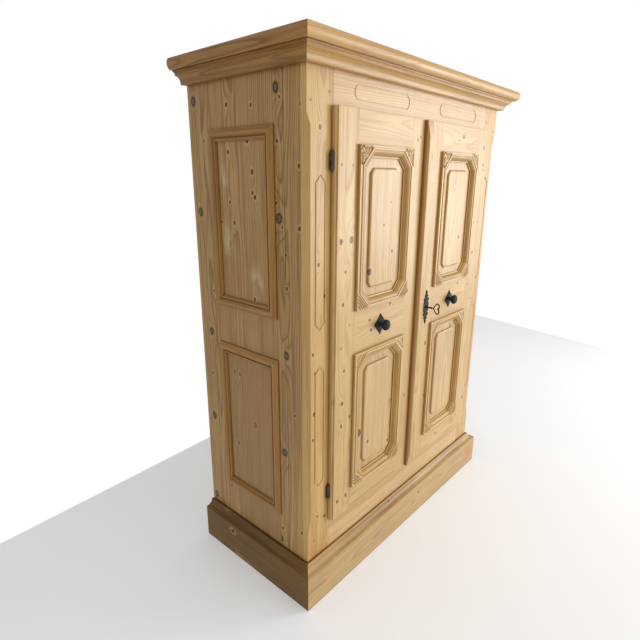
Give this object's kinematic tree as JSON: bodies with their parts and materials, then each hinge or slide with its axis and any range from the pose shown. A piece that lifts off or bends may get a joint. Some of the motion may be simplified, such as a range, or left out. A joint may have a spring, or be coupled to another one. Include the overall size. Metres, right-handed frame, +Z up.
{
  "type": "armoire",
  "caption": "Free-standing pine armoire with a moulded cornice and plinth, and paired hinged doors with octagonal fielded panels.",
  "frame": {"origin": "centre of the overall footprint, on the floor", "axes": "+Z up, the doors face -Y, +X to the right seen from the front"},
  "size_m": [1.452, 0.668, 1.945],
  "materials": {
    "front_pine": "waxed pale pine, satin",
    "side_pine": "waxed old pine, satin",
    "moulding_pine": "waxed honey pine, satin",
    "inner_pine": "raw planed pine, matt",
    "black_iron": "blackened iron, slightly rough"
  },
  "bodies": {
    "carcass": {"plinth_front": "front_pine", "plinth_left": "side_pine", "plinth_right": "side_pine", "left_side_boards": "side_pine", "right_side_boards": "side_pine", "left_front_stile": "front_pine", "right_front_stile": "front_pine", "front_top_rail": "front_pine", "front_bottom_rail": "front_pine", "back_boards": "inner_pine", "top_board": "inner_pine", "floor_board": "inner_pine", "floor_bearers": "inner_pine", "cornice_front": "moulding_pine", "cornice_left": "moulding_pine", "cornice_right": "moulding_pine", "left_side_mouldings": "moulding_pine", "right_side_mouldings": "moulding_pine", "hat_shelf": "inner_pine", "shelf_cleats": "inner_pine", "clothes_rail": "inner_pine", "rail_brackets": "inner_pine", "frame_pegs": "moulding_pine", "hinge_frame_leaves": "black_iron"},
    "left_door": {"left_door_hinge_stile": "front_pine", "left_door_meeting_stile": "front_pine", "left_door_top_rail": "front_pine", "left_door_middle_rail": "front_pine", "left_door_bottom_rail": "front_pine", "left_upper_panel": "front_pine", "left_lower_panel": "front_pine", "left_panel_surrounds": "front_pine", "left_panel_mouldings": "moulding_pine", "left_knob": "black_iron", "left_knob_plate": "black_iron", "left_hinge_leaves": "black_iron", "left_door_pegs": "moulding_pine", "bolt_guides": "black_iron", "lock_keep": "black_iron"},
    "right_door": {"right_door_hinge_stile": "front_pine", "right_door_meeting_stile": "front_pine", "right_door_top_rail": "front_pine", "right_door_middle_rail": "front_pine", "right_door_bottom_rail": "front_pine", "right_upper_panel": "front_pine", "right_lower_panel": "front_pine", "right_panel_surrounds": "front_pine", "right_panel_mouldings": "moulding_pine", "right_knob": "black_iron", "right_knob_plate": "black_iron", "right_hinge_leaves": "black_iron", "right_door_pegs": "moulding_pine", "meeting_strip": "moulding_pine", "escutcheon": "black_iron", "lock_case": "black_iron"},
    "upper_bolt": {"upper_bolt": "black_iron"},
    "lower_bolt": {"lower_bolt": "black_iron"},
    "key": {"key": "black_iron"},
    "lock_bolt": {"lock_bolt": "black_iron"}
  },
  "joints": [
    {"name": "right_door_hinge", "type": "hinge", "parent": "carcass", "child": "right_door", "pos_m": [0.5475, -0.255, 1], "axis": [0, 0, 1], "range_deg": [0, 120]},
    {"name": "left_door_hinge", "type": "hinge", "parent": "carcass", "child": "left_door", "pos_m": [-0.5475, -0.255, 1], "axis": [0, 0, -1], "range_deg": [0, 120]},
    {"name": "key_turn", "type": "hinge", "parent": "right_door", "child": "key", "pos_m": [0.066, -0.278, 1.029], "axis": [0, 1, 0], "range_deg": [0, 180]},
    {"name": "lock_bolt_throw", "type": "slide", "parent": "right_door", "child": "lock_bolt", "axis": [-1, 0, 0], "range_m": [0, 0.0141]},
    {"name": "upper_bolt_slide", "type": "slide", "parent": "left_door", "child": "upper_bolt", "axis": [0, 0, 1], "range_m": [0, 0.02]},
    {"name": "lower_bolt_slide", "type": "slide", "parent": "left_door", "child": "lower_bolt", "axis": [0, 0, -1], "range_m": [0, 0.015]}
  ],
  "couplings": [
    {"joint": "left_door_hinge", "follows": "right_door_hinge", "ratio": 1},
    {"joint": "lock_bolt_throw", "follows": "key_turn", "m_per_rad": 0.0044563}
  ]
}
